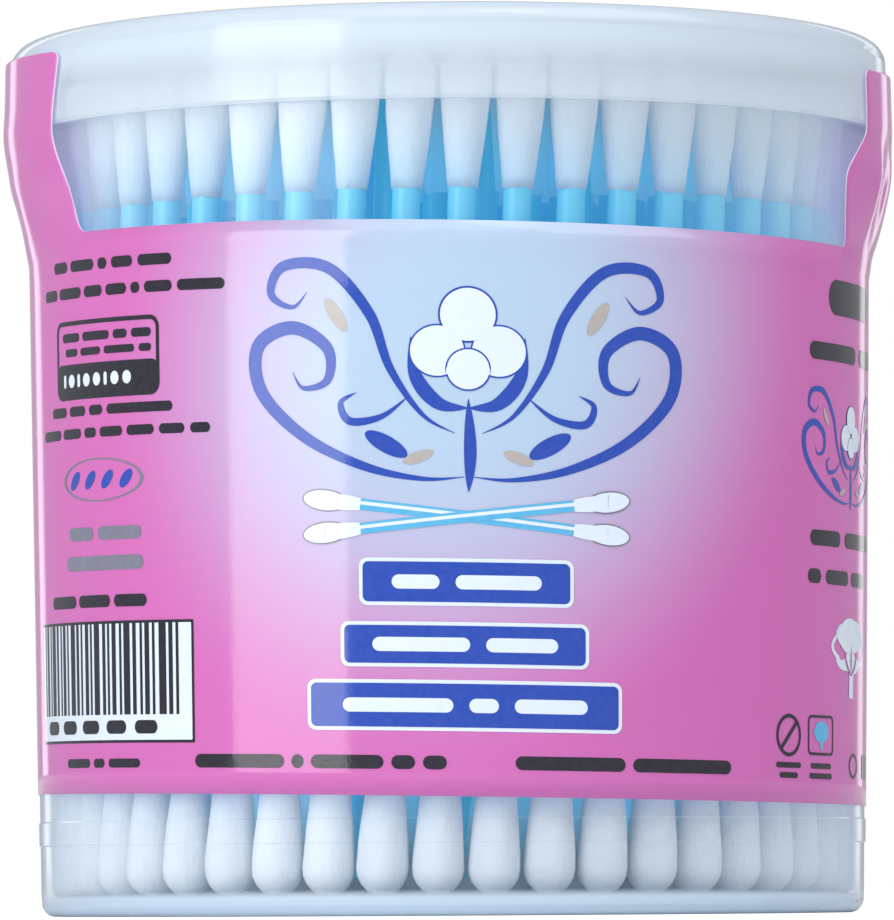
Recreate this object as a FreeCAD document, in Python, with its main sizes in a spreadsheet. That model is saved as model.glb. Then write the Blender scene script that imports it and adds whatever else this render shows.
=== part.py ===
import FreeCAD, Part
import math
import os
import re
import Sketcher

# A round tub with a push-on lid, a wrapped film label and its cotton swabs.
# Millimetres; the axis is Z, the base stands on z = 0 and the front faces -Y.

NAMES_AND_SIZES = [
    # Tub
    ("base_radius", 37.7, "outside of the wall, carried down to the foot"),
    ("rim_flare", 1.05, "how much wider the wall is at the rim"),
    ("wall", 1.0, "wall of the tub"),
    ("floor_top", 1.75, "top of the floor inside"),
    ("foot_recess", 0.75, "hollow under the floor"),
    ("foot_width", 2.2, "flat ring that the tub stands on"),
    ("foot_round", 1.3, "round at the outside of the foot"),
    ("floor_round", 0.8, "round between floor and wall inside"),
    ("bead_reach", 0.65, "how far the rim bead stands out"),
    ("bead_height", 1.5, "upright face of the rim bead"),
    ("band_low", 6.35, "lower edge of the raised band"),
    ("band_high", 8.6, "upper edge of the raised band"),
    ("band_reach", 0.12, "how far the raised band stands out"),
    # Lid
    ("lid_gap", 0.1, "clearance from the rim bead to the skirt"),
    ("lid_wall", 1.1, "wall of the skirt at its lower edge"),
    ("lid_draft", 0.25, "how much narrower the lid is at the top"),
    ("lid_rise", 5.45, "top of the lid above the rim"),
    ("lid_plate", 1.4, "thickness of the lid's top"),
    ("lid_round", 2.0, "round at the top edge of the lid"),
    ("lid_inner_round", 1.0, "round inside the top edge of the lid"),
    ("skirt_depth", 3.2, "how far the skirt reaches below the rim"),
    # Label
    ("film", 0.15, "thickness of the label film"),
    ("film_gap", 0.03, "glue line between film and wall"),
    ("tab_gap", 0.3, "clearance from the skirt to the tabs"),
    ("label_tilt", 1.1, "degrees that the label sits down to the right"),
    ("label_low", 10.4, "lower edge of the label at the front"),
    ("window_drop", 13.75, "rim down to the foot of the windows at the front"),
    ("leave_drop", 14.8, "rim down to where the tabs leave the wall"),
    ("tab_rise", 2.1, "top of the tabs at the windows' edges above the rim"),
    ("tab_arch", 1.0, "how much higher the tabs are at their middles"),
    ("tab_left_low", 5.85, "left tab inwards of the rim at the window's foot"),
    ("tab_left_high", 3.25, "left tab inwards of the rim over the lid"),
    ("tab_right_low", 3.05, "right tab inwards of the rim at the window's foot"),
    ("tab_right_high", 1.05, "right tab inwards of the rim over the lid"),
    ("window_round", 0.9, "round in the lower corners of the windows"),
    # Swabs
    ("swab_length", 74.6, "a swab from end to end"),
    ("swab_rise", 1.95, "swabs standing above the rim"),
    ("free_across", -0.4, "place near the middle that is left free, across"),
    ("free_along", 2.5, "place near the middle that is left free, along"),
    ("free_reach", 5.3, "least distance from the free place to a swab's middle"),
    ("stick_width", 2.5, "outside of a stick"),
    ("stick_bore", 1.5, "hollow of a stick"),
    ("tip_width", 4.8, "cotton of the swabs along the wall"),
    ("packed_width", 4.46, "cotton of the swabs pressed together further in"),
    ("tip_length", 12.8, "cotton from its round end to its neck"),
    ("tip_cap", 1.6, "cotton over the end of the stick"),
    ("neck_wool", 0.15, "thickness of the cotton at its neck"),
    ("tip_gap", 0.04, "least space between two tips"),
    ("ring_phase", 2.7, "degrees from the front to the first upper tip"),
    ("ring_twist", 4.8, "degrees that the swabs lean round the axis"),
]

# Sizes that follow from the ones above
FOLLOWING_SIZES = [
    ("rim_radius", "base_radius + rim_flare", "outside of the wall at the rim"),
    ("rim_height", "floor_top + swab_length - swab_rise", "rim above the table"),
    ("lid_top", "rim_height + lid_rise", "top of the lid above the table"),
    ("label_high", "rim_height - window_drop", "foot of the windows at the front"),
    ("label_leave", "rim_height - leave_drop", "height where the tabs leave the wall"),
    ("tab_side", "rim_height + tab_rise", "top of the tabs at the windows' edges"),
    ("window_left_low", "rim_radius - tab_left_low", "left edge of the window at its foot"),
    ("window_left_high", "rim_radius - tab_left_high", "left edge of the window over the lid"),
    ("window_right_low", "rim_radius - tab_right_low", "right edge of the window at its foot"),
    ("window_right_high", "rim_radius - tab_right_high", "right edge of the window over the lid"),
]

ROWS = 8

doc = FreeCAD.newDocument("SwabTub")
sheet = doc.addObject("Spreadsheet::Sheet", "Sizes")
for line, (name, size, note) in enumerate(NAMES_AND_SIZES + FOLLOWING_SIZES, start=1):
    sheet.set(f"A{line}", name)
    sheet.set(f"B{line}", f"={size}")
    sheet.set(f"C{line}", note)
    sheet.setAlias(f"B{line}", name)
doc.recompute()

KNOWN = {name for name, size, note in NAMES_AND_SIZES + FOLLOWING_SIZES}


def on_sheet(text):
    """The expression with each named size read from the sheet."""
    return re.sub(r"[a-z_]+", lambda m: "Sizes." + m[0] if m[0] in KNOWN else m[0], text)


def size(text):
    """The present number behind an expression of named sizes."""
    answer = sheet.evalExpression(on_sheet(text))
    return float(getattr(answer, "Value", answer))


def origin_feature(body, role):
    return next(f for f in body.Origin.OriginFeatures if f.Role == role)


def new_body(name):
    body = doc.addObject("PartDesign::Body", name)
    body.Label = name
    return body


def arc_middle(start, end, radius):
    """The middle of the arc from start to end that bulges to the right of the way, or left if below 0."""
    chord = end - start
    half = chord.Length / 2
    across = FreeCAD.Vector(chord.y, -chord.x, 0).normalize()
    sag = abs(radius) - math.sqrt(max(radius * radius - half * half, 0))
    return (start + end) * 0.5 + across * math.copysign(sag, radius)


def add_outline(body, name, plane, corners):
    """A closed outline in a plane of the body. Every corner is (across, up), tied to the sheet;
    with a third entry, the side that ends there is an arc of that radius."""
    sketch = body.newObject("Sketcher::SketchObject", name)
    sketch.AttachmentSupport = (origin_feature(body, plane), [""])
    sketch.MapMode = "FlatFace"
    places = [FreeCAD.Vector(size(c[0]), size(c[1]), 0) for c in corners]
    ends = []
    for i, corner in enumerate(corners):
        start = places[i - 1]
        end = places[i]
        if len(corner) == 3:
            middle = arc_middle(start, end, size(corner[2]))
            side = sketch.addGeometry(Part.Arc(start, middle, end), False)
        else:
            side = sketch.addGeometry(Part.LineSegment(start, end), False)
        turned = (sketch.getPoint(side, 1) - start).Length > (sketch.getPoint(side, 2) - start).Length
        ends.append((side, 2 if turned else 1, 1 if turned else 2))
    for i, corner in enumerate(corners):
        side, first, last = ends[i]
        next_side, next_first, next_last = ends[(i + 1) % len(ends)]
        sketch.addConstraint(Sketcher.Constraint("Coincident", side, last, next_side, next_first))
        for kind, axis, text in (("DistanceX", -2, corner[0]), ("DistanceY", -1, corner[1])):
            if size(text) == 0:
                sketch.addConstraint(Sketcher.Constraint("PointOnObject", side, last, axis))
                continue
            place = Sketcher.Constraint(kind, -1, 1, side, last, size(text))
            number = sketch.addConstraint(place)
            sketch.setExpression(f"Constraints[{number}]", on_sheet(text))
        if len(corner) == 3:
            bend = Sketcher.Constraint("Radius", side, abs(size(corner[2])))
            number = sketch.addConstraint(bend)
            sketch.setExpression(f"Constraints[{number}]", on_sheet(f"abs({corner[2]})"))
    return sketch


def turn(body, name, corners):
    """Turns an outline of radius and height once round Z."""
    sketch = add_outline(body, name + "Outline", "XZ_Plane", corners)
    turned = body.newObject("PartDesign::Revolution", name)
    turned.Profile = sketch
    turned.ReferenceAxis = (origin_feature(body, "Z_Axis"), [""])
    turned.Angle = 360
    doc.recompute()
    return turned


def cut_away(body, name, plane, corners, reverse=False, both=False):
    """Cuts an outline through the body, square to the plane."""
    sketch = add_outline(body, name + "Outline", plane, corners)
    before = body.Shape.Volume
    cut = body.newObject("PartDesign::Pocket", name)
    cut.Profile = sketch
    cut.Type = "ThroughAll"
    cut.Reversed = reverse
    cut.Midplane = both
    doc.recompute()
    if not body.Shape.Volume < before:
        raise RuntimeError(f"{name} cuts nothing")
    return cut


def wall_at(height):
    """Expression for the outside of the tub's wall at a height."""
    return f"(base_radius + (rim_radius - base_radius) * ({height}) / rim_height)"


# Tub: one moulding with a foot ring, a faint raised band and a bead round the rim
tub = new_body("tub")
bead = "(rim_radius + bead_reach)"
turn(tub, "TubShell", [
    ("base_radius - foot_round", "0"),
    (wall_at("foot_round"), "foot_round", "foot_round"),
    (wall_at("band_low"), "band_low"),
    (wall_at("band_low + band_reach") + " + band_reach", "band_low + band_reach"),
    (wall_at("band_high - band_reach") + " + band_reach", "band_high - band_reach"),
    (wall_at("band_high"), "band_high"),
    (wall_at("rim_height - bead_height - bead_reach"), "rim_height - bead_height - bead_reach"),
    (bead, "rim_height - bead_height"),
    (bead, "rim_height - bead_reach / 2"),
    (bead + " - bead_reach / 2", "rim_height"),
    ("rim_radius - wall", "rim_height"),
    (wall_at("floor_top + floor_round") + " - wall", "floor_top + floor_round"),
    (wall_at("floor_top") + " - wall - floor_round", "floor_top", "-floor_round"),
    ("0", "floor_top"),
    ("0", "foot_recess"),
    ("base_radius - foot_round - foot_width - foot_recess", "foot_recess"),
    ("base_radius - foot_round - foot_width", "0"),
])

# Lid: a flat plate with a rounded edge and a skirt, resting with a ledge on the rim
lid = new_body("lid")
skirt_inside = "(rim_radius + bead_reach + lid_gap)"
skirt_outside = "(rim_radius + bead_reach + lid_gap + lid_wall)"
lid_side = f"({skirt_outside} - lid_draft)"
turn(lid, "LidShell", [
    (skirt_inside, "rim_height - skirt_depth"),
    (skirt_outside + " - 0.3", "rim_height - skirt_depth"),
    (skirt_outside, "rim_height - skirt_depth + 0.3"),
    (lid_side, "lid_top - lid_round"),
    (lid_side + " - lid_round", "lid_top", "lid_round"),
    ("0", "lid_top"),
    ("0", "lid_top - lid_plate"),
    ("rim_radius - lid_inner_round", "lid_top - lid_plate"),
    ("rim_radius", "lid_top - lid_plate - lid_inner_round", "-lid_inner_round"),
    ("rim_radius", "rim_height"),
    (skirt_inside, "rim_height"),
])

# Label: one film round the wall, with two tabs that run up beside the lid's skirt
label = new_body("label")
tab_inside = f"({skirt_outside} + tab_gap)"
wall_low = wall_at("label_low - 1.5") + " + film_gap"
wall_high = wall_at("label_leave") + " + film_gap"
knee = "(label_leave + (rim_height - skirt_depth - label_leave) * 0.68)"
turn(label, "LabelFilm", [
    (wall_low, "label_low - 1.5"),
    (wall_low + " + film", "label_low - 1.5"),
    (wall_high + " + film", "label_leave"),
    (f"{tab_inside} - 0.35 + film", knee),
    (f"{tab_inside} + film", "rim_height - skirt_depth"),
    (f"{tab_inside} + film", "lid_top"),
    (tab_inside, "lid_top"),
    (tab_inside, "rim_height - skirt_depth"),
    (f"{tab_inside} - 0.35", knee),
    (wall_high, "label_leave"),
])


def tilted(across, up):
    """A place on the label, moved with the label's slight tilt."""
    return across, f"{up} - ({across}) * tan(label_tilt)"


far = "(base_radius * 2)"
above = "(lid_top * 1.2)"
window = [
    ("-window_left_low - 0.05", "label_high + window_round"),
    ("-window_left_low + window_round - 0.05", "label_high", "window_round"),
    ("window_right_low - window_round", "label_high"),
    ("window_right_low", "label_high + window_round", "window_round"),
    ("window_right_low", "label_high + 6.4"),
    ("window_right_high", "label_high + 11"),
    ("window_right_high", above),
    ("-window_left_high", above),
    ("-window_left_high", "label_high + 9.4"),
]
back_window = [(f"-({w[0]})", w[1], *["-" + t for t in w[2:]]) for w in window]
for number, (outline, reverse) in enumerate(((window, True), (back_window, False)), start=1):
    placed = [(*tilted(w[0], w[1]), *w[2:]) for w in outline]
    cut_away(label, f"LabelWindow{number}", "XZ_Plane", placed, reverse=reverse)
cut_away(label, "LabelLowerEdge", "XZ_Plane", [
    tilted(f"-{far}", "0 * film"),
    tilted(far, "0 * film"),
    tilted(far, "label_low"),
    tilted(f"-{far}", "label_low"),
], both=True)
for number, (side, reverse) in enumerate((("1", False), ("-1", True)), start=1):
    drop = f"({side}) * {tab_inside} * tan(label_tilt)"
    half = "(base_radius / 2)"
    bend = f"(({half} * {half} + tab_arch * tab_arch) / (2 * tab_arch))"
    cut_away(label, f"LabelTabTop{number}", "YZ_Plane", [
        (f"-{half}", f"tab_side - {drop}"),
        (half, f"tab_side - {drop}", f"-{bend}"),
        (far, f"tab_side - {drop}"),
        (far, above),
        (f"-{far}", above),
        (f"-{far}", f"tab_side - {drop}"),
    ], reverse=reverse)

# Swab: a hollow stick and a cotton tip, each modelled once and then copied
stick = new_body("stick_pattern")
turn(stick, "StickTube", [
    ("stick_bore / 2", "tip_cap"),
    ("stick_width / 2", "tip_cap"),
    ("stick_width / 2", "swab_length - tip_cap"),
    ("stick_bore / 2", "swab_length - tip_cap"),
])


def turn_tip(name, width):
    """A cotton tip with its round end at the origin and its neck upwards."""
    tip = new_body(name)
    radius = f"({width} / 2)"
    neck = "(stick_width / 2 + neck_wool)"
    fall = f"({radius} - {neck})"
    run = f"(tip_length - {radius})"
    turn(tip, name + "Cotton", [
        ("0", "0"),
        (radius, radius, radius),
        (neck, "tip_length", f"({fall} * {fall} + {run} * {run}) / (2 * {fall})"),
        ("stick_width / 2", "tip_length"),
        ("stick_width / 2", "tip_cap"),
        ("0", "tip_cap"),
    ])
    return tip


wall_tip = turn_tip("wall_tip_pattern", "tip_width")
packed_tip = turn_tip("packed_tip_pattern", "packed_width")


def ring_of_swabs():
    """Places of the swabs that stand along the wall, evenly spaced, as complex numbers."""
    lowest = "floor_top + tip_width / 2"
    reach = size(wall_at(lowest) + " - wall - tip_width / 2 - tip_gap")
    step = 2 * math.asin((size("tip_width + tip_gap") + 0.01) / 2 / reach)
    count = int(2 * math.pi / step)
    turns = [size("ring_phase - 90") * math.pi / 180 + 2 * math.pi * i / count for i in range(count)]
    return [complex(reach * math.cos(t), reach * math.sin(t)) for t in turns]


def touching_places(one, other, near_one, near_other):
    """The two places at the given distances from two others, if there are any."""
    way = other - one
    apart = abs(way)
    if apart < 1e-6 or apart > near_one + near_other:
        return []
    along = (apart * apart + near_one * near_one - near_other * near_other) / (2 * apart)
    off = near_one * near_one - along * along
    if off < 0:
        return []
    return [one + way / apart * complex(along, s * math.sqrt(off)) for s in (1, -1)]


def fill_inward(ring):
    """Adds swabs one by one, each at the free place furthest out that touches two others."""
    left_free = complex(size("free_across"), size("free_along"))
    free_reach = size("free_reach")
    pitch = size("packed_width + tip_gap")
    to_ring = size("(packed_width + tip_width) / 2 + tip_gap")
    placed = [(place, to_ring) for place in ring]
    free = []
    fresh = list(range(len(placed)))
    while fresh:
        for k in fresh:
            one, near_one = placed[k]
            for other, near_other in placed:
                free += touching_places(one, other, near_one, near_other)
        free = [
            f for f in free
            if abs(f) < abs(ring[0]) and abs(f - left_free) > free_reach
            and all(abs(f - p) > near - 1e-6 for p, near in placed)
        ]
        if not free:
            break
        best = max(free, key=lambda f: (round(abs(f), 4), round(f.real, 4), round(f.imag, 4)))
        fresh = [len(placed)]
        placed.append((best, pitch))
    return [place for place, near in placed[len(ring):]]


def swab_placement(place, width):
    """Stands a swab on the floor at a place, leaning round the axis."""
    turned_back = place * complex(
        math.cos(size("ring_twist") * math.pi / 180), -math.sin(size("ring_twist") * math.pi / 180)
    )
    end = size(width) / 2
    low = FreeCAD.Vector(turned_back.real, turned_back.imag, size("floor_top") + end)
    across = abs(place - turned_back)
    rise = math.sqrt((size("swab_length") - 2 * end) ** 2 - across * across)
    high = FreeCAD.Vector(place.real, place.imag, low.z + rise)
    way = (high - low).normalize()
    turn_up = FreeCAD.Rotation(FreeCAD.Vector(0, 0, 1), way)
    return FreeCAD.Placement(low - way * end, turn_up)


def group_of(name, shapes):
    """Several like pieces that share one node."""
    group = doc.addObject("Part::Feature", name)
    group.Label = name
    group.Shape = Part.makeCompound(shapes)
    return group


# Rows: row 1 stands along the wall, the others follow towards the middle
ring = ring_of_swabs()
inner = fill_inward(ring)
rows = [[(place, "tip_width", wall_tip) for place in ring]]
rows += [[] for row in range(ROWS - 1)]
for place in inner:
    band = round((1 - abs(place) / abs(ring[0])) * ROWS)
    rows[min(max(band, 1), ROWS - 1)].append((place, "packed_width", packed_tip))
rows = [row for row in rows if row]

upside_down = FreeCAD.Placement(
    FreeCAD.Vector(0, 0, size("swab_length")), FreeCAD.Rotation(FreeCAD.Vector(1, 0, 0), 180)
)
nodes = [tub, lid, label]
for number, row in enumerate(rows, start=1):
    sticks = []
    low_tips = []
    high_tips = []
    for place, width, tip in row:
        standing = swab_placement(place, width)
        sticks.append(stick.Shape.copy().transformed(standing.toMatrix()))
        low_tips.append(tip.Shape.copy().transformed(standing.toMatrix()))
        high_tips.append(tip.Shape.copy().transformed((standing * upside_down).toMatrix()))
    nodes.append(group_of(f"sticks_row_{number}", sticks))
    nodes.append(group_of(f"lower_tips_row_{number}", low_tips))
    nodes.append(group_of(f"upper_tips_row_{number}", high_tips))

doc.recompute()
for item in doc.Objects:
    if "Invalid" in item.State or "Error" in item.State:
        raise RuntimeError(f"{item.Label} did not compute")
os.makedirs("parts", exist_ok=True)
for node in nodes:
    if node.Shape.isNull() or not node.Shape.isValid():
        raise RuntimeError(f"{node.Label} has no sound shape")
    node.Shape.exportStep(f"parts/{node.Label}.step")
for row in rows:
    print(len(row), "swabs")
print(sum(len(row) for row in rows), "swabs in all,", len(nodes), "nodes")
for node in nodes:
    box = node.Shape.optimalBoundingBox()
    print(node.Label, len(node.Shape.Solids), "solids,", round(node.Shape.Volume), "mm3,",
          f"x {box.XMin:.2f} {box.XMax:.2f} y {box.YMin:.2f} {box.YMax:.2f} z {box.ZMin:.2f} {box.ZMax:.2f}")
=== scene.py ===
import math

import bmesh
import bpy
from bpy.props import FloatProperty, FloatVectorProperty, IntProperty, PointerProperty
from mathutils import Matrix, Vector, noise


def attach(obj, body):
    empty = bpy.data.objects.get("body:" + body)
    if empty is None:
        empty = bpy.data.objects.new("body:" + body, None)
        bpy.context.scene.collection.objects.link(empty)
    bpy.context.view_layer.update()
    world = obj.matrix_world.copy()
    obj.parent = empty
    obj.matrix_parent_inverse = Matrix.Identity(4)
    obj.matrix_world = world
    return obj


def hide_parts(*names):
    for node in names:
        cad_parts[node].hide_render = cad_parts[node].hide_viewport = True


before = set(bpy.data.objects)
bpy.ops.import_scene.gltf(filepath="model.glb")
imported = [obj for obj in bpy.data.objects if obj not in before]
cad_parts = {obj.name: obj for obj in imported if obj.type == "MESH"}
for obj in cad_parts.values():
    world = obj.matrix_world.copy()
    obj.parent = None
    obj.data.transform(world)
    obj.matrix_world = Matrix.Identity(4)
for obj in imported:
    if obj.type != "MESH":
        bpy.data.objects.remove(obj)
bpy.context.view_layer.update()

bl_info = {
    "name": "Cotton Swab Tub",
    "version": (1, 0, 0),
    "blender": (4, 5, 0),
    "location": "View3D > Sidebar > Swab Tub",
    "description": "Dresses a frosted tub of cotton swabs with its lid and printed film label",
    "category": "Object",
}

MM = 0.001
ROWS = range(1, 9)
# Heights in millimetres between which the lid's skirt turns into its plate, where the plate's painted shade
# fades in
LID_PLATE = (77.75, 77.95)

# Settings


class SwabTubSettings(bpy.types.PropertyGroup):
    """Sizes and colours of the swab tub; lengths are in millimetres."""

    plastic: FloatVectorProperty(
        name="Plastic", description="Colour of the frosted plastic", subtype="COLOR",
        size=3, min=0, max=1, default=(0.725, 0.80, 0.862))
    plastic_edge: FloatVectorProperty(
        name="Plastic Edge", description="Colour of the plastic seen edge on", subtype="COLOR",
        size=3, min=0, max=1, default=(0.49, 0.62, 0.76))
    # Painted glow: emission that stands in for light passed through the plastic from behind
    plastic_painted_glow: FloatProperty(
        name="Plastic Glow", description="Light that the plastic passes on from behind",
        subtype="FACTOR", default=0.10, min=0, max=1)
    tub_haze: FloatProperty(
        name="Tub Haze", description="How milky one wall of the tub is",
        subtype="FACTOR", default=0.015, min=0, max=1)
    lid_haze: FloatProperty(
        name="Lid Haze", description="How milky one wall of the lid is",
        subtype="FACTOR", default=0.38, min=0, max=1)
    cotton: FloatVectorProperty(
        name="Cotton", description="Colour of the cotton", subtype="COLOR",
        size=3, min=0, max=1, default=(0.80, 0.89, 0.97))
    stick: FloatVectorProperty(
        name="Stick", description="Colour of the sticks", subtype="COLOR",
        size=3, min=0, max=1, default=(0.0, 0.52, 0.78))
    pink: FloatVectorProperty(
        name="Pink", description="Ground colour of the label", subtype="COLOR",
        size=3, min=0, max=1, default=(0.62, 0.15, 0.46))
    pale: FloatVectorProperty(
        name="Pale", description="Colour in the middle of the label's pale field", subtype="COLOR",
        size=3, min=0, max=1, default=(0.45, 0.59, 0.76))
    navy: FloatVectorProperty(
        name="Navy", description="Blue ink", subtype="COLOR",
        size=3, min=0, max=1, default=(0.010, 0.060, 0.42))
    film: FloatProperty(
        name="Film", description="Thickness of the label film", default=0.12, min=0.05, max=0.3)
    tip_width: FloatProperty(
        name="Tip Width", description="Cotton of the swabs along the wall", default=4.8, min=3, max=6)
    packed_width: FloatProperty(
        name="Packed Width", description="Cotton of the swabs further in", default=4.46, min=3, max=6)
    tip_length: FloatProperty(
        name="Tip Length", description="Cotton from its round end to its neck", default=12.5, min=8, max=20)
    tip_cap: FloatProperty(
        name="Tip Cap", description="Cotton over the end of a stick", default=1.6, min=0.5, max=3)
    lean: FloatProperty(
        name="Lean", description="Degrees that the swabs lean round the axis", default=4.8, min=0, max=10)
    tip_sides: IntProperty(
        name="Tip Sides", description="Sides of a cotton tip along the wall", default=18, min=8, max=48)
    tilt: FloatProperty(
        name="Label Tilt", description="Degrees that the label sits down to the right",
        default=1.1, min=0, max=4)


def settings():
    """The scene's sizes and colours."""
    return bpy.context.scene.swab_tub


# Materials


def new_material(name):
    """A material with its nodes, its links and its main shader."""
    material = bpy.data.materials.new(name)
    material.use_nodes = True
    nodes = material.node_tree.nodes
    return material, nodes, material.node_tree.links, nodes["Principled BSDF"]


def object_noise(nodes, links, scale, detail, stretch=(1, 1, 1)):
    """Noise over the object's own coordinates, as a socket."""
    place = nodes.new("ShaderNodeTexCoord")
    mapping = nodes.new("ShaderNodeMapping")
    mapping.inputs["Scale"].default_value = stretch
    texture = nodes.new("ShaderNodeTexNoise")
    texture.inputs["Scale"].default_value = scale
    texture.inputs["Detail"].default_value = detail
    links.new(place.outputs["Object"], mapping.inputs["Vector"])
    links.new(mapping.outputs["Vector"], texture.inputs["Vector"])
    return texture.outputs["Fac"]


def spread(nodes, links, value, low, high):
    """A 0 to 1 value spread from low to high."""
    node = nodes.new("ShaderNodeMapRange")
    node.inputs["To Min"].default_value = low
    node.inputs["To Max"].default_value = high
    links.new(value, node.inputs["Value"])
    return node.outputs["Result"]


def bump(nodes, links, height, distance, shader, strength):
    """Raises a shader's surface by a 0 to 1 height, with the distance in metres."""
    node = nodes.new("ShaderNodeBump")
    node.inputs["Distance"].default_value = distance
    node.inputs["Strength"].default_value = strength
    links.new(height, node.inputs["Height"])
    links.new(node.outputs["Normal"], shader.inputs["Normal"])


def mixed(nodes, links, share, one, other):
    """Two colours mixed by a share; a colour is a socket or three numbers."""
    node = nodes.new("ShaderNodeMix")
    node.data_type = "RGBA"
    for name, colour in (("A", one), ("B", other)):
        socket = next(s for s in node.inputs if s.name == name and s.type == "RGBA")
        if isinstance(colour, bpy.types.NodeSocket):
            links.new(colour, socket)
        else:
            socket.default_value = (*colour, 1)
    links.new(share, node.inputs["Factor"])
    return next(s for s in node.outputs if s.type == "RGBA")


def math_node(nodes, links, operation, one, other=0.0):
    """The result of a sum; each value is a socket or a number."""
    node = nodes.new("ShaderNodeMath")
    node.operation = operation
    for number, value in enumerate((one, other)):
        if isinstance(value, bpy.types.NodeSocket):
            links.new(value, node.inputs[number])
        else:
            node.inputs[number].default_value = value
    return node.outputs[0]


def smooth_share(nodes, links, value, start, end, low=0.0, high=1.0):
    """Low up to the start value and high beyond the end value, with a smooth change between."""
    node = nodes.new("ShaderNodeMapRange")
    node.interpolation_type = "SMOOTHSTEP"
    node.inputs["From Min"].default_value = start
    node.inputs["From Max"].default_value = end
    node.inputs["To Min"].default_value = low
    node.inputs["To Max"].default_value = high
    links.new(value, node.inputs["Value"])
    return node.outputs["Result"]


def height_share(nodes, links, start, end):
    """0 below the start height and 1 beyond the end height, in millimetres of the object."""
    place = nodes.new("ShaderNodeTexCoord")
    parts = nodes.new("ShaderNodeSeparateXYZ")
    links.new(place.outputs["Object"], parts.inputs[0])
    return smooth_share(nodes, links, parts.outputs["Z"], start * MM, end * MM)


def by_camera(nodes, links, lighting, seen, output):
    """Shows one shader to the camera and lights the scene with another."""
    path = nodes.new("ShaderNodeLightPath")
    mix = nodes.new("ShaderNodeMixShader")
    links.new(path.outputs["Is Camera Ray"], mix.inputs[0])
    links.new(lighting.outputs[0], mix.inputs[1])
    links.new(seen.outputs[0], mix.inputs[2])
    links.new(mix.outputs[0], nodes[output].inputs["Surface"])


def frosted_plastic(name, haze, edge_share, thick, start, end):
    """See-through plastic whose milky veil thickens edge on and, by a share, between two heights."""
    material, nodes, links, shader = new_material(name)
    flow = object_noise(nodes, links, 60, 1, (1, 1, 0.25))
    tint = tuple(settings().plastic)
    edge = tuple(a + (b - a) * edge_share for a, b in zip(tint, settings().plastic_edge))
    deeper = tuple(c * 0.93 for c in tint)
    milk = mixed(nodes, links, flow, tint, deeper)
    links.new(spread(nodes, links, flow, 0.12, 0.2), shader.inputs["Roughness"])
    shader.inputs["IOR"].default_value = 1.49
    # Painted glow: the plastic emits its edge colour, standing in for light passed through it
    shader.inputs["Emission Color"].default_value = (*edge, 1)
    shader.inputs["Emission Strength"].default_value = settings().plastic_painted_glow
    facing = nodes.new("ShaderNodeLayerWeight")
    facing.inputs["Blend"].default_value = 0.5
    steep = math_node(nodes, links, "POWER", facing.outputs["Facing"], 2.1)
    level = math_node(nodes, links, "MULTIPLY", height_share(nodes, links, start, end), thick)
    share = math_node(nodes, links, "MAXIMUM", steep, level)
    # Painted shade: the lid's top plate is painted darker, holding back the top lamps' light on it
    plate_painted_shade = height_share(nodes, links, *LID_PLATE)
    milk = mixed(nodes, links, plate_painted_shade, milk, (0.50, 0.56, 0.64))
    links.new(mixed(nodes, links, share, milk, edge), shader.inputs["Base Color"])
    links.new(spread(nodes, links, share, haze, 0.9), shader.inputs["Alpha"])
    shader.inputs["Specular IOR Level"].default_value = 0.0
    add_gloss(material, nodes, links, shader)
    return material


def add_gloss(material, nodes, links, shader):
    """Lays a clear sheen over a see-through surface."""
    sheen = nodes.new("ShaderNodeBsdfGlossy")
    sheen.inputs["Roughness"].default_value = 0.12
    edge = nodes.new("ShaderNodeFresnel")
    edge.inputs["IOR"].default_value = 1.5
    sides = nodes.new("ShaderNodeNewGeometry")
    outward = math_node(nodes, links, "SUBTRACT", 1.0, sides.outputs["Backfacing"])
    mix = nodes.new("ShaderNodeMixShader")
    links.new(math_node(nodes, links, "MULTIPLY", edge.outputs[0], outward), mix.inputs[0])
    links.new(shader.outputs[0], mix.inputs[1])
    links.new(sheen.outputs[0], mix.inputs[2])
    links.new(mix.outputs[0], nodes["Material Output"].inputs["Surface"])


def cotton_wool(name, glow, start, end, light, cyan_painted_glow=False):
    """White cotton with fine wound fibres, painted with blue bounce light from the sticks towards its neck
    and with a painted glow.
    """
    material, nodes, links, shader = new_material(name)
    clumps = object_noise(nodes, links, 700, 2)
    fibres = object_noise(nodes, links, 2600, 3, (1, 1, 0.35))
    white = tuple(settings().cotton)
    shade = tuple(c * 0.92 for c in white)
    wool = mixed(nodes, links, clumps, white, shade)
    # Painted bounce light: the cotton takes the sticks' blue towards its neck
    share = math_node(nodes, links, "MULTIPLY", height_share(nodes, links, start, end), glow)
    links.new(mixed(nodes, links, share, wool, (0.01, 0.46, 0.78)), shader.inputs["Base Color"])
    links.new(spread(nodes, links, fibres, 0.85, 1.0), shader.inputs["Roughness"])
    shader.inputs["Sheen Weight"].default_value = 0.3
    # Painted glow: cyan towards the neck further in, plain white otherwise
    if cyan_painted_glow:
        shader.inputs["Emission Color"].default_value = (0.12, 0.46, 0.60, 1)
        links.new(math_node(nodes, links, "MULTIPLY", share, light), shader.inputs["Emission Strength"])
    else:
        shader.inputs["Emission Color"].default_value = (*white, 1)
        shader.inputs["Emission Strength"].default_value = light
    bump(nodes, links, fibres, 0.00012, shader, 0.8)
    return material


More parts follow.
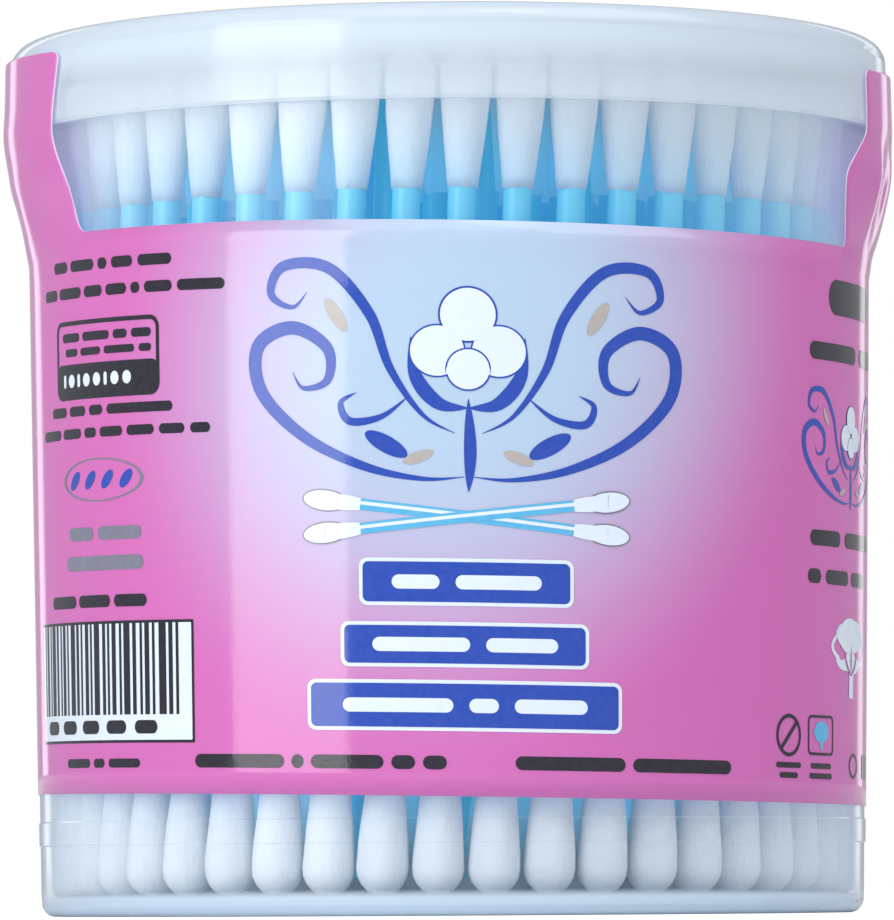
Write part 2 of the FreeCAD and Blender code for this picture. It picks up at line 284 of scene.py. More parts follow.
def stick_plastic(name, lift):
    """Smooth blue plastic with faint drawing lines along the stick and a painted glow; a lift makes it
    paler, as painted light.
    """
    material, nodes, links, shader = new_material(name)
    lines = object_noise(nodes, links, 900, 2, (1, 1, 0.02))
    # Painted light: the lift pales the blue for the outer row, as if lit
    blue = tuple(c + (1 - c) * lift for c in settings().stick)
    pale = tuple(c + (1 - c) * 0.04 for c in blue)
    links.new(mixed(nodes, links, lines, blue, pale), shader.inputs["Base Color"])
    links.new(spread(nodes, links, lines, 0.28, 0.42), shader.inputs["Roughness"])
    # Painted glow: the sticks emit blue, standing in for light through the plastic
    shader.inputs["Emission Color"].default_value = (0.0, 0.46, 0.72, 1)
    shader.inputs["Emission Strength"].default_value = 0.22
    bump(nodes, links, lines, 0.00002, shader, 0.5)
    return material


def film_finish(nodes, links, shader):
    """Gloss and faint slackness that all of the label's prints share."""
    slack = object_noise(nodes, links, 40, 0, (1, 1, 0.4))
    links.new(spread(nodes, links, slack, 0.07, 0.12), shader.inputs["Roughness"])
    grain = object_noise(nodes, links, 2200, 1)
    bump(nodes, links, grain, 0.00002, shader, 0.3)


def label_ground():
    """Pink film that fades in fine dots to a pale field, at the front and again at the back."""
    material, nodes, links, shader = new_material("label_ground")
    place = nodes.new("ShaderNodeUVMap")
    place.uv_map = "label"
    parts = nodes.new("ShaderNodeSeparateXYZ")
    links.new(place.outputs["UV"], parts.inputs[0])
    across = parts.outputs["X"]
    up = parts.outputs["Y"]

    def calc(operation, one, other=0.0):
        return math_node(nodes, links, operation, one, other)

    above = calc("SUBTRACT", up, 0.50)
    middle = calc("ADD", calc("MULTIPLY", above, 0.12), 0.020)
    s = calc("DIVIDE", calc("SUBTRACT", across, middle), 0.32)
    h = calc("DIVIDE", above, 0.33)
    far = calc("SQRT", calc("ADD", calc("MULTIPLY", s, s), calc("MULTIPLY", h, h)))
    fade = smooth_share(nodes, links, far, 0.25, 1.15)
    pitch = 2 * math.pi / 0.0026
    rise = calc("SINE", calc("MULTIPLY", calc("ADD", across, up), pitch))
    fall = calc("SINE", calc("MULTIPLY", calc("SUBTRACT", across, up), pitch))
    halfway = calc("MULTIPLY", fade, calc("SUBTRACT", 1.0, fade))
    dotted = calc("MULTIPLY", calc("MULTIPLY", rise, fall), calc("MULTIPLY", halfway, 0.45))
    share = calc("ADD", fade, dotted)
    look = settings()
    colour = mixed(nodes, links, share, tuple(look.pale), tuple(look.pink))
    links.new(colour, shader.inputs["Base Color"])
    film_finish(nodes, links, shader)
    return material


def ink(name, colour, ground):
    """Printed ink with the faint unevenness of a fine screen, which lets a share of white through."""
    material, nodes, links, shader = new_material(name)
    screen = object_noise(nodes, links, 1500, 2)
    lighter = tuple(c + (1 - c) * ground for c in colour)
    links.new(mixed(nodes, links, screen, colour, lighter), shader.inputs["Base Color"])
    film_finish(nodes, links, shader)
    return material


# Meshes


def new_piece(name, bm, body, *materials):
    """Turns a bmesh into a piece that rides on a CAD body."""
    mesh = bpy.data.meshes.new(name)
    bm.to_mesh(mesh)
    bm.free()
    for material in materials:
        mesh.materials.append(material)
    for face in mesh.polygons:
        face.use_smooth = True
    piece = bpy.data.objects.new(name, mesh)
    bpy.context.scene.collection.objects.link(piece)
    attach(piece, body)
    return piece


def eased(pairs, value):
    """Reads a list of (value, answer) pairs with smooth joins."""
    if value <= pairs[0][0]:
        return pairs[0][1]
    for i in range(len(pairs) - 1):
        (v0, a0), (v1, a1) = pairs[i], pairs[i + 1]
        if value <= v1:
            before = pairs[i - 1] if i else pairs[i]
            after = pairs[i + 2] if i + 2 < len(pairs) else pairs[i + 1]
            slope0 = (a1 - before[1]) / (v1 - before[0])
            slope1 = (after[1] - a0) / (after[0] - v0)
            run = v1 - v0
            t = (value - v0) / run
            return ((2 * t**3 - 3 * t**2 + 1) * a0 + (t**3 - 2 * t**2 + t) * run * slope0
                    + (3 * t**2 - 2 * t**3) * a1 + (t**3 - t**2) * run * slope1)
    return pairs[-1][1]


# Tub and film, in millimetres

FOOT_RADIUS = 37.7
RIM_RADIUS = 38.75
RIM_HEIGHT = 74.4
FILM_GAP = 0.03
# Radii that turn lengths along the film into angles
PRINT_RADIUS = 38.4
BAND_RADIUS = 38.6
TAB_RADIUS = 40.7
# Height at which the film leaves the wall towards the lid
RISE_START = 58.5
# Radius of the film beside the lid: (height, radius) at the left and at the right
LEFT_RISE = [(59.5, 38.57), (61, 38.85), (62.9, 39.2), (64.7, 39.65), (66.6, 40.2), (68.4, 40.5),
             (70.1, 40.78), (71.6, 40.92), (74, 40.80), (79, 40.68)]
RIGHT_RISE = [(58.5, 38.56), (60.2, 38.9), (62, 39.45), (63.8, 39.95), (65.7, 40.4), (67.5, 40.7),
              (70.1, 40.74), (71.6, 40.8), (74, 40.76), (79, 40.66)]
# Edges of the front window: (label height, distance across) seen from the front
LEFT_EDGE = [(60.65, -32.9), (64.4, -33.85), (65.8, -34.35), (68.1, -35.2), (70.3, -35.55), (76.5, -34.9)]
RIGHT_EDGE = [(60.65, 35.7), (66.4, 35.7), (67.6, 35.95), (69.4, 36.9), (71.0, 37.65), (72.5, 37.75),
              (76.5, 37.7)]
# Folds of the slack film between two angles: (depth, height, spread of it, degrees, spread of them)
FOLDS = {
    (60, 130): [(0.30, 65.5, 3.6, 73.5, 2.6), (-0.34, 65.5, 3.6, 79.5, 2.6), (0.22, 63, 4, 95, 4.5)],
    (-125, -55): [(0.16, 64, 3.5, -78, 5)],
}
LABEL_LOW = 10.4
LABEL_HIGH = 60.65
TAB_TOP = 76.9
WINDOW_CORNER = 0.9
# Height of the print over the film, and of each layer of it over the one below
PRINT_GAP = 0.02
LAYER_STEP = 0.015
NECK_RADIUS = 1.4


def wall_radius(z):
    """Where the film lies on the tub's slightly conical wall."""
    return FOOT_RADIUS + (RIM_RADIUS - FOOT_RADIUS) * z / RIM_HEIGHT + FILM_GAP


def film_radius(azimuth, z):
    """Inside of the label film in millimetres, with the slack folds of its tabs."""
    if z < RISE_START:
        return wall_radius(z)
    turn = (math.sin(azimuth) + 1) / 2
    radius = eased(LEFT_RISE, z) * (1 - turn) + eased(RIGHT_RISE, z) * turn
    degrees = math.degrees(azimuth)
    for (first, last), folds in FOLDS.items():
        if not first < degrees < last:
            continue
        for depth, level, rise, side, width in folds:
            swell = math.exp(-((z - level) / rise) ** 2)
            radius += depth * swell * math.exp(-((degrees - side) / width) ** 2)
    return max(radius, wall_radius(z))


def film_place(azimuth, height, proud=0.0):
    """A point on the film from azimuth and label height, in metres."""
    tilt = math.tan(math.radians(settings().tilt))
    z = height - BAND_RADIUS * math.sin(azimuth) * tilt
    radius = film_radius(azimuth, z) + proud
    z = height - radius * math.sin(azimuth) * tilt
    return Vector((radius * math.sin(azimuth), -radius * math.cos(azimuth), z)) * MM


def edge_azimuth(edge, height):
    """Azimuth of a window edge at a label height."""
    across = eased(edge, height)
    side = math.copysign(1, across)
    tilt = math.tan(math.radians(settings().tilt))
    z = height - across * tilt
    rise = LEFT_RISE if across < 0 else RIGHT_RISE
    radius = eased(rise, z) if z > RISE_START else wall_radius(z)
    azimuth = side * math.asin(min(abs(across) / radius, 1))
    corner = WINDOW_CORNER
    low = height - LABEL_HIGH
    if low < corner:
        azimuth -= side * (corner - math.sqrt(corner**2 - (corner - low) ** 2)) / BAND_RADIUS
    high = height - (TAB_TOP - corner)
    if high > 0:
        azimuth += side * (corner - math.sqrt(max(corner**2 - high**2, 0))) / TAB_RADIUS
    return azimuth


def lay_sheet(bm, columns, rows, place_of):
    """A grid laid on the film; place_of(column, row) gives the azimuth and label height of a point.
    Its UV map counts tenths of a metre from the middle of the nearest window."""
    uv = bm.loops.layers.uv["label"]
    made = bmesh.ops.create_grid(bm, x_segments=columns, y_segments=rows, size=0.5)["verts"]
    places = {v: place_of(round((v.co.x + 0.5) * columns), round((v.co.y + 0.5) * rows)) for v in made}
    for vertex, (azimuth, height) in places.items():
        vertex.co = film_place(wrapped(azimuth), height)
    for face in dict.fromkeys(f for v in made for f in v.link_faces):
        corners = [places[loop.vert] for loop in face.loops]
        middle = sum(a for a, _ in corners) / len(corners)
        half_turn = math.pi * round(middle / math.pi)
        for loop, (azimuth, height) in zip(face.loops, corners):
            loop[uv].uv = ((azimuth - half_turn) * PRINT_RADIUS / 100, height / 100)


def build_film():
    """The label film as one sheet: a band round the wall with two tabs."""
    bm = bmesh.new()
    bm.loops.layers.uv.new("label")
    low_rows = 26
    tab_rows = 44
    window_columns = 64
    tab_columns = 44
    left = edge_azimuth(LEFT_EDGE, LABEL_HIGH)
    right = edge_azimuth(RIGHT_EDGE, LABEL_HIGH)
    stops = [
        (left, right, window_columns),
        (right, left + math.pi, tab_columns),
        (left + math.pi, right + math.pi, window_columns),
        (right + math.pi, left + 2 * math.pi, tab_columns),
    ]
    azimuths = [start + (end - start) * i / count for start, end, count in stops for i in range(count)]
    azimuths.append(left + 2 * math.pi)

    def band(column, row):
        return azimuths[column], LABEL_LOW + (LABEL_HIGH - LABEL_LOW) * row / low_rows

    lay_sheet(bm, len(azimuths) - 1, low_rows, band)
    reach = TAB_TOP - LABEL_HIGH
    for side in (0, math.pi):
        def tab(column, row):
            t = row / tab_rows
            share = 0.35 * t + 0.65 * (0.5 - 0.5 * math.cos(math.pi * t))
            level = LABEL_HIGH + reach * share
            start = edge_azimuth(RIGHT_EDGE, level)
            end = edge_azimuth(LEFT_EDGE, level) + math.pi
            u = column / tab_columns
            arch = 0.4 * (1 - (2 * u - 1) ** 2)
            return start + (end - start) * u + side, LABEL_HIGH + (reach + arch) * share

        lay_sheet(bm, tab_columns, tab_rows, tab)
    bmesh.ops.remove_doubles(bm, verts=bm.verts, dist=0.00001)
    face_outwards(bm)
    return bm


def face_outwards(bm):
    """Turns each face of a sheet away from the axis."""
    bm.normal_update()
    inward = [f for f in bm.faces if f.normal.xy.dot(f.calc_center_median().xy) < 0]
    bmesh.ops.reverse_faces(bm, faces=inward)


def wrapped(azimuth):
    """The same azimuth between minus and plus half a turn."""
    return (azimuth + math.pi) % (2 * math.pi) - math.pi


class PrintSheet:
    """Collects flat printed shapes and lays them on the label.
    Places are millimetres round the label from its front and up from the table."""

    def __init__(self):
        self.bm = bmesh.new()
        self.aim()

    def aim(self, shift=0.0, scale=1.0, about=(0.0, 0.0)):
        """Moves and scales what is drawn next."""
        self.shift = shift
        self.scale = scale
        self.about = about

    def place(self, point, layer):
        """A printed point just above the film, by its layer."""
        s = self.about[0] + (point[0] - self.about[0]) * self.scale + self.shift
        h = self.about[1] + (point[1] - self.about[1]) * self.scale
        proud = settings().film + PRINT_GAP + LAYER_STEP * layer
        return film_place(wrapped(s / PRINT_RADIUS), h, proud)

    def strip(self, left_side, right_side, slot, layer, closed=False):
        """A band extruded from one line of points to another."""
        line = [self.bm.verts.new(self.place(p, layer)) for p in left_side]
        edges = [self.bm.edges.new(pair) for pair in zip(line, line[1:])]
        if closed:
            edges.append(self.bm.edges.new((line[-1], line[0])))
        made = bmesh.ops.extrude_edge_only(self.bm, edges=edges)["geom"]
        fresh = {v for v in made if isinstance(v, bmesh.types.BMVert)}
        for vertex, point in zip(line, right_side):
            for edge in vertex.link_edges:
                other = edge.other_vert(vertex)
                if other in fresh:
                    other.co = self.place(point, layer)
        for face in made:
            if isinstance(face, bmesh.types.BMFace):
                face.material_index = slot

    def stroke(self, points, width, slot, layer, steps, taper=1.0):
        """A pen stroke along a smooth line; it swells to width and runs out thin at both ends."""
        line = smooth_line(points, steps)
        left_side = []
        right_side = []
        for i, point in enumerate(line):
            before = line[max(i - 1, 0)]
            after = line[min(i + 1, len(line) - 1)]
            way = (after - before).normalized()
            across = Vector((-way.y, way.x))
            t = i / (len(line) - 1)
            half = width / 2 * ((1 - taper) + taper * math.sin(math.pi * min(max(t, 0.02), 0.98)))
            left_side.append(point + across * half)
            right_side.append(point - across * half)
        self.strip(left_side, right_side, slot, layer)

    def bar(self, s0, s1, h0, h1, slot, layer, corner=None):
        """An upright rectangle with rounded corners."""
        corner = min((h1 - h0) / 2, (s1 - s0) / 2) if corner is None else corner
        longest_step = 1.2
        count = max(2, int((s1 - s0) / longest_step))
        stops = {s0 + (s1 - s0) * i / count for i in range(count + 1)}
        for i in range(1, 6):
            inset = corner * (1 - math.cos(math.pi / 2 * i / 5))
            stops |= {s0 + inset, s1 - inset}
        lows = []
        highs = []
        for s in sorted(stops):
            near = min(s - s0, s1 - s)
            inset = 0.0
            if near < corner:
                inset = corner - math.sqrt(max(corner**2 - (corner - near) ** 2, 0))
            lows.append((s, h0 + inset))
            highs.append((s, h1 - inset))
        self.strip(lows, highs, slot, layer)

    def frame(self, s0, s1, h0, h1, line, corner, slot, layer):
        """The outline of a rounded rectangle."""
        outer = rounded_corners(s0, s1, h0, h1, corner)
        inner = rounded_corners(s0 + line, s1 - line, h0 + line, h1 - line, max(corner - line, 0.05))
        self.strip(outer, inner, slot, layer, closed=True)

    def blob(self, centre, radii, slot, layer, turn=0.0, ripple=0.0, lobes=5, hollow=0.0):
        """An oval, with lobes if rippled, or a ring if hollow."""
        outer = []
        inner = []
        count = 40
        for i in range(count):
            a = 2 * math.pi * i / count
            swell = 1 + ripple * abs(math.sin(lobes * a / 2))
            x = radii[0] * math.cos(a) * swell
            y = radii[1] * math.sin(a) * swell
            dx = x * math.cos(turn) - y * math.sin(turn)
            dy = x * math.sin(turn) + y * math.cos(turn)
            outer.append((centre[0] + dx, centre[1] + dy))
            inner.append((centre[0] + dx * hollow, centre[1] + dy * hollow))
        self.strip(outer, inner, slot, layer, closed=True)

    def words(self, s0, h0, h1, lengths, gap, slot, layer):
        """A row of plain bars in place of a line of print."""
        at = s0
        for length in lengths:
            self.bar(at, at + length, h0, h1, slot, layer)
            at += length + gap


def rounded_corners(s0, s1, h0, h1, corner):
    """Points round a rounded rectangle, dense enough to follow the tub."""
    corner_points = 6
    side_points = 12
    points = []
    for cx, cy, start in ((s1 - corner, h0 + corner, -90), (s1 - corner, h1 - corner, 0),
                          (s0 + corner, h1 - corner, 90), (s0 + corner, h0 + corner, 180)):
        for i in range(corner_points):
            a = math.radians(start + 90 * i / (corner_points - 1))
            points.append(Vector((cx + corner * math.cos(a), cy + corner * math.sin(a))))
    dense = []
    for i, point in enumerate(points):
        after = points[(i + 1) % len(points)]
        count = side_points if (i + 1) % corner_points == 0 else 1
        dense += [point.lerp(after, k / count) for k in range(count)]
    return dense


def smooth_line(points, steps):
    """A smooth line through points, as vectors."""
    stops = [Vector(p) for p in points]
    line = []
    spans = len(stops) - 1
    for k in range(steps + 1):
        at = spans * k / steps
        i = min(int(at), spans - 1)
        t = at - i
        p0 = stops[max(i - 1, 0)]
        p1 = stops[i]
        p2 = stops[i + 1]
        p3 = stops[min(i + 2, spans)]
        line.append(0.5 * (2 * p1 + (p2 - p0) * t + (2 * p0 - 5 * p1 + 4 * p2 - p3) * t**2
                           + (3 * p1 - p0 - 3 * p2 + p3) * t**3))
    return line


NAVY, BLACK, WHITE, CYAN, GREY, BEIGE, PINK = range(7)


def draw_ornament(sheet):
    """A generic flower of cotton between two pairs of scrolls, about 41 mm wide."""
    middle = 1.6
    for side in (-1, 1):
        def mirrored(points):
            return [(middle + side * x, y) for x, y in points]

        low_scroll = mirrored([
            (0.4, 38.2), (4, 38.0), (9, 39.0), (14.5, 41.6), (18.6, 45.6), (18.9, 49.6),
            (15.6, 51.2), (12.4, 49.4), (12.4, 46.6), (14.6, 45.9), (15.6, 47.3)])
        high_scroll = mirrored([
            (1.2, 42.0), (4.0, 43.6), (6.8, 47.6), (8.6, 52.4), (12.2, 56.4), (16.4, 56.6),
            (17.6, 54.2), (15.6, 53.0), (14.2, 54.3)])
        curl = mirrored([(5.2, 45.2), (7.6, 43.4), (10.4, 43.0), (11.2, 44.6), (9.8, 45.5)])
        sheet.stroke(low_scroll, 1.25, NAVY, 1, 90)
        sheet.stroke(high_scroll, 1.0, NAVY, 1, 80)
        sheet.stroke(curl, 0.7, NAVY, 1, 40)
        sheet.blob((middle + side * 7.2, 41.0), (2.1, 0.75), NAVY, 1, side * 0.5)
        sheet.blob((middle + side * 11.6, 52.3), (1.7, 0.6), BEIGE, 1, side * 1.0)
        sheet.blob((middle + side * 4.4, 39.9), (1.4, 0.5), BEIGE, 1, -side * 0.35)
        sheet.stroke(mirrored([(0.0, 44.2), (2.6, 44.6), (4.6, 47.0), (5.0, 50.4)]), 1.3, NAVY, 1, 30)
        sheet.blob((middle + side * 2.7, 49.2), (2.35, 2.2), WHITE, 2)
        sheet.blob((middle + side * 2.7, 49.2), (2.5, 2.35), NAVY, 1)
    sheet.blob((middle, 52.4), (2.6, 2.5), NAVY, 1)
    sheet.blob((middle, 52.4), (2.42, 2.32), WHITE, 3)
    sheet.blob((middle, 47.6), (2.0, 1.9), NAVY, 2)
    sheet.blob((middle, 47.6), (1.85, 1.75), WHITE, 3)
    sheet.stroke([(middle, 36.9), (middle + 0.15, 40.5), (middle, 45.0)], 1.1, NAVY, 1, 20)


def draw_crossed_swabs(sheet):
    """Two plain swabs laid across each other."""
    for start, end in (((-13.1, 36.3), (16.1, 33.2)), ((-13.1, 33.0), (16.1, 36.5))):
        start = Vector(start)
        end = Vector(end)
        way = (end - start).normalized()
        turn = math.atan2(way.y, way.x)
        cotton = way * 4.6
        stick = [start + cotton, (start + cotton).lerp(end - cotton, 0.5), end - cotton]
        layer = 3 if end.y > start.y else 1
        sheet.stroke(stick, 0.98, CYAN, layer, 16, 0.0)
        lift = Vector((-way.y, way.x)) * 0.12
        sheet.stroke([point + lift for point in stick], 0.3, WHITE, layer + 1, 16, 0.0)
        for tip, inward in ((start, way), (end, -way)):
            sheet.blob(tip + inward * 2.0, (2.1, 0.98), GREY, layer, turn)
            sheet.blob(tip + inward * 2.0, (1.98, 0.86), WHITE, layer + 1, turn)
            neck = [tip + inward * 1.6, tip + inward * 3.4, tip + inward * 5.2]
            sheet.stroke(neck, 1.35, WHITE, layer + 1, 12, 0.25)


def draw_plaque(sheet, s0, s1, h0, h1, lengths, gap):
    """A blue plaque with a pale border and a row of pale bars in its middle."""
    border = 0.32
    half_height = 0.62
    sheet.bar(s0, s1, h0, h1, WHITE, 1, 0.75)
    sheet.bar(s0 + border, s1 - border, h0 + border, h1 - border, NAVY, 2, 0.5)
    total = sum(lengths) + gap * (len(lengths) - 1)
    middle = (h0 + h1) / 2
    sheet.words((s0 + s1 - total) / 2, middle - half_height, middle + half_height, lengths, gap, WHITE, 3)


def draw_front(sheet):
    """The ornament, the crossed swabs, three plaques and a line of bars."""
    draw_ornament(sheet)
    draw_crossed_swabs(sheet)
    draw_plaque(sheet, -8.1, 10.9, 26.95, 31.1, (4.2, 7.6), 1.4)
    draw_plaque(sheet, -9.8, 12.3, 21.6, 25.55, (8.6, 6.4), 1.4)
    draw_plaque(sheet, -12.9, 15.4, 16.05, 20.5, (9.8, 2.6, 6.6), 1.4)
    sheet.words(-24.4, 12.7, 13.9, (9.2, 1.15, 6.6, 2.1, 2.1), 0.7, BLACK, 1)
    sheet.words(5.6, 12.75, 13.95, (10.15, 10.5), 0.75, BLACK, 1)


def draw_left(sheet):
    """Lines of bars, a small box, an oval and a panel of plain stripes."""
    sheet.words(-45.0, 57.2, 58.2, (3.0, 4.2, 1.4, 3.0, 4.2), 0.7, BLACK, 1)
    sheet.words(-47.6, 54.8, 55.8, (3.2, 4.4, 3.0, 3.0, 1.2, 3.4, 5.2), 0.6, BLACK, 1)
    sheet.frame(-44.6, -28.0, 45.7, 52.8, 0.4, 1.1, BLACK, 1)
    sheet.bar(-44.5, -28.1, 45.8, 48.9, BLACK, 1, 0.9)
    sheet.words(-43.2, 50.9, 51.7, (3.4, 4.4, 2.0, 2.6), 0.6, BLACK, 1)
    sheet.words(-42.6, 49.6, 50.3, (2.4, 3.4, 4.4, 1.6), 0.6, BLACK, 1)
    sheet.words(-43.0, 46.8, 48.0, (0.5, 1.2, 0.5, 1.2, 1.2, 0.5, 1.2, 1.2), 0.55, WHITE, 2)
    sheet.words(-46.0, 44.2, 45.1, (3.4, 3.0, 2.2, 8.8), 0.7, BLACK, 1)
    sheet.words(-48.6, 42.2, 43.1, (4.6, 3.6, 2.0, 3.4, 3.6, 3.0, 2.2), 0.65, BLACK, 1)
    sheet.blob((-36.8, 38.4), (6.6, 1.95), GREY, 1, 0.0, hollow=0.93)
    for k in range(4):
        sheet.blob((-41.0 + 2.8 * k, 38.4), (1.1, 0.55), NAVY, 1, 0.7)
    sheet.words(-42.4, 33.0, 34.2, (4.6, 6.4), 0.8, GREY, 1)
    sheet.words(-43.0, 30.3, 31.6, (12.6,), 0.8, GREY, 1)
    sheet.words(-46.8, 27.0, 28.1, (5.6, 5.4, 4.6), 0.6, BLACK, 1)
    sheet.bar(-50.6, -24.4, 14.9, 25.75, BLACK, 1, 0.1)
    sheet.bar(-50.35, -24.65, 15.15, 25.5, WHITE, 2, 0.1)
    widths = (0.34, 0.62, 0.34, 0.9, 0.5)
    gaps = (0.36, 0.5, 0.3)
    at = -49.6
    k = 0
    while at < -26.4:
        wide = widths[k % len(widths)]
        sheet.bar(at, at + wide, 17.4, 25.5, BLACK, 3, 0.02)
        at += wide + gaps[k % len(gaps)]
        k += 1
    sheet.words(-48.6, 15.7, 16.9, (3.0, 3.0, 3.0, 3.0, 3.0), 1.2, BLACK, 3)
    sheet.words(-43.6, 12.7, 13.5, (4.6, 1.8, 4.6), 0.7, BLACK, 1)


def draw_right(sheet):
    """Lines of bars, a small ornament, a cotton plant and small signs."""
    sheet.words(41.6, 54.4, 57.6, (12.6,), 0.8, BLACK, 1)
    sheet.words(38.0, 50.2, 51.8, (10.6, 7.0), 1.4, BLACK, 1)
    sheet.aim(45.6, 0.53, (1.6, 37.0))
    draw_ornament(sheet)
    sheet.aim()
    sheet.words(38.2, 33.5, 34.9, (6.2, 9.8), 1.2, BLACK, 1)
    sheet.words(37.8, 30.1, 31.4, (2.4, 5.4, 5.0), 1.0, BLACK, 1)
    sheet.blob((47.6, 24.6), (4.7, 2.2), WHITE, 1, 0.0, 0.12, 7)
    sheet.blob((47.6, 25.6), (3.6, 1.5), WHITE, 2, 0.0, 0.1, 5)
    sheet.stroke([(47.6, 20.0), (47.7, 21.4), (47.6, 23.4)], 1.3, WHITE, 1, 10, 0.0)
    for side in (-1, 1):
        branch = [(47.6, 22.0), (47.6 + side * 1.2, 22.9), (47.6 + side * 1.9, 24.2)]
        sheet.stroke(branch, 0.34, PINK, 3, 14)
    sheet.stroke([(47.6, 22.0), (47.6, 23.4), (47.6, 24.8)], 0.34, PINK, 3, 14)
    sheet.blob((34.8, 16.4), (1.9, 1.9), BLACK, 1, hollow=0.82)
    sheet.stroke([(33.5, 15.1), (34.8, 16.4), (36.1, 17.7)], 0.4, BLACK, 1, 8, 0.0)
    sheet.words(32.9, 13.5, 14.0, (3.8,), 0.5, BLACK, 1)
    sheet.words(33.4, 12.6, 13.1, (2.8,), 0.5, BLACK, 1)
    sheet.frame(37.9, 42.9, 14.7, 18.3, 0.25, 0.6, BLACK, 1)
    sheet.blob((40.4, 16.8), (1.3, 0.9), CYAN, 1, 0.0, 0.12, 7)
    sheet.stroke([(40.4, 15.2), (40.4, 16.2)], 0.5, CYAN, 1, 6, 0.0)
    sheet.words(38.4, 13.5, 14.0, (4.0,), 0.5, BLACK, 1)
    sheet.words(38.2, 12.6, 13.1, (4.4,), 0.5, BLACK, 1)
    sheet.blob((48.6, 13.9), (1.5, 1.15), BLACK, 1, hollow=0.75)
    sheet.bar(52.4, 55.4, 12.8, 15.0, BLACK, 1, 0.3)


# Swab places


def ring_centres(node, at_top):
    """Centres of the stick ends of a CAD node, in metres."""
    end_depth = 0.4 * MM
    stick_reach = 2.9 * MM
    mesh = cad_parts[node].data
    level = [v.co.z for v in mesh.vertices]
    edge = max(level) if at_top else min(level)
    found = []
    for vertex in mesh.vertices:
        if abs(vertex.co.z - edge) > end_depth:
            continue
        for group in found:
            if (group[0].xy - vertex.co.xy).length < stick_reach:
                group.append(vertex.co)
                break
        else:
            found.append([vertex.co])
    centres = []
    for group in found:
        lows = [min(p[i] for p in group) for i in range(3)]
        highs = [max(p[i] for p in group) for i in range(3)]
        centres.append(Vector([(a + b) / 2 for a, b in zip(lows, highs)]))
    return centres


def swab_lines(row):
    """(lower end, way up, length) of each stick of a row, taken from the CAD sticks."""
    node = f"sticks_row_{row}"
    lows = ring_centres(node, False)
    highs = ring_centres(node, True)
    turn = math.radians(settings().lean)
    lines = []
    for low in lows:
        expected = Vector((low.x * math.cos(turn) - low.y * math.sin(turn),
                           low.x * math.sin(turn) + low.y * math.cos(turn)))
        high = min(highs, key=lambda p: (p.xy - expected).length)
        lines.append((low, (high - low).normalized(), (high - low).length))
    return lines


def cotton_profile(width, taper, round_steps, long_steps):
    """(distance from the round end, radius) along a cotton tip in millimetres."""
    radius = width / 2
    points = [(0.0, 0.0)]
    for i in range(1, round_steps + 1):
        a = math.pi / 2 * i / round_steps
        points.append((radius * (1 - math.cos(a)), radius * math.sin(a)))
    run = settings().tip_length - radius
    for i in range(1, long_steps + 1):
        share = i / long_steps
        points.append((radius + run * share, radius - (radius - NECK_RADIUS) * share**taper))
    points.append((settings().tip_length - 0.05, NECK_RADIUS * 0.88))
    return points


def turned_tip(profile, sides):
    """A cotton tip turned on the Z axis with its round end at the origin."""
    bm = bmesh.new()
    line = [bm.verts.new((radius * MM, 0, along * MM)) for along, radius in profile]
    edges = [bm.edges.new(pair) for pair in zip(line, line[1:])]
    bmesh.ops.spin(bm, geom=line + edges, cent=(0, 0, 0), axis=(0, 0, 1), angle=2 * math.pi,
                   steps=sides, use_merge=True)
    bmesh.ops.remove_doubles(bm, verts=bm.verts, dist=1e-7)
    bmesh.ops.recalc_face_normals(bm, faces=bm.faces)
    mesh = bpy.data.meshes.new("turned_tip")
    bm.to_mesh(mesh)
    bm.free()
    return mesh


def add_tip(bm, shape, end, way, seed):
    """Sets a turned tip along a way, slightly lumpy and uneven at its neck."""
    bm.from_mesh(shape)
    bm.verts.ensure_lookup_table()
    fresh = bm.verts[-len(shape.vertices):]
    turn = way.to_track_quat("Z", "Y").to_matrix().to_4x4() @ Matrix.Rotation(seed, 4, "Z")
    bmesh.ops.transform(bm, matrix=Matrix.Translation(end) @ turn, verts=fresh)
    neck = (settings().tip_length - 0.3) * MM
    for vertex in fresh:
        along = (vertex.co - end).dot(way)
        middle = end + way * along
        lump = noise.noise(vertex.co * 420 + Vector((seed, 0, 0))) * 0.5 - 0.5
        wisp = noise.noise(vertex.co * 1500) * 0.5 - 0.5
        vertex.co = middle + (vertex.co - middle) * (1 + 0.055 * lump + 0.02 * wisp)
        if along > neck:
            vertex.co += way * 0.28 * MM * noise.noise(vertex.co * 2600)


def build_tips(row, upper):
    """All cotton tips at one end of a row; those further in are plainer."""
    look = settings()
    bm = bmesh.new()
    taper = 1.3 if upper else 1.4
    if row == 1:
        shape = turned_tip(cotton_profile(look.tip_width, taper, 5, 8), look.tip_sides)
    else:
        shape = turned_tip(cotton_profile(look.packed_width, taper, 3, 4), 10)
    for number, (low, way, length) in enumerate(swab_lines(row)):
        seed = 0.7 * number + row
        if upper:
            add_tip(bm, shape, low + way * (length + look.tip_cap * MM), -way, seed)
        else:
            add_tip(bm, shape, low - way * look.tip_cap * MM, way, seed)
    bpy.data.meshes.remove(shape)
    return bm


# Operators


def dress_node(node, material):
    """Gives a CAD node its finish."""
    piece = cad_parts[node]
    for place in piece.material_slots:
        place.material = material


class SWABTUB_OT_tub(bpy.types.Operator):
    """Gives the tub its frosted plastic"""
    bl_idname = "swabtub.tub"
    bl_label = "Tub"

    def execute(self, context):
        plastic = frosted_plastic("frosted_tub", settings().tub_haze, 1.0, 0.9, 2.4, 1.5)
        dress_node("tub", plastic)
        return {"FINISHED"}


class SWABTUB_OT_lid(bpy.types.Operator):
    """Gives the lid its frosted plastic"""
    bl_idname = "swabtub.lid"
    bl_label = "Lid"

    def execute(self, context):
        plastic = frosted_plastic("frosted_lid", settings().lid_haze, 0.45, 0.74, 73.3, 77.2)
        dress_node("lid", plastic)
        return {"FINISHED"}


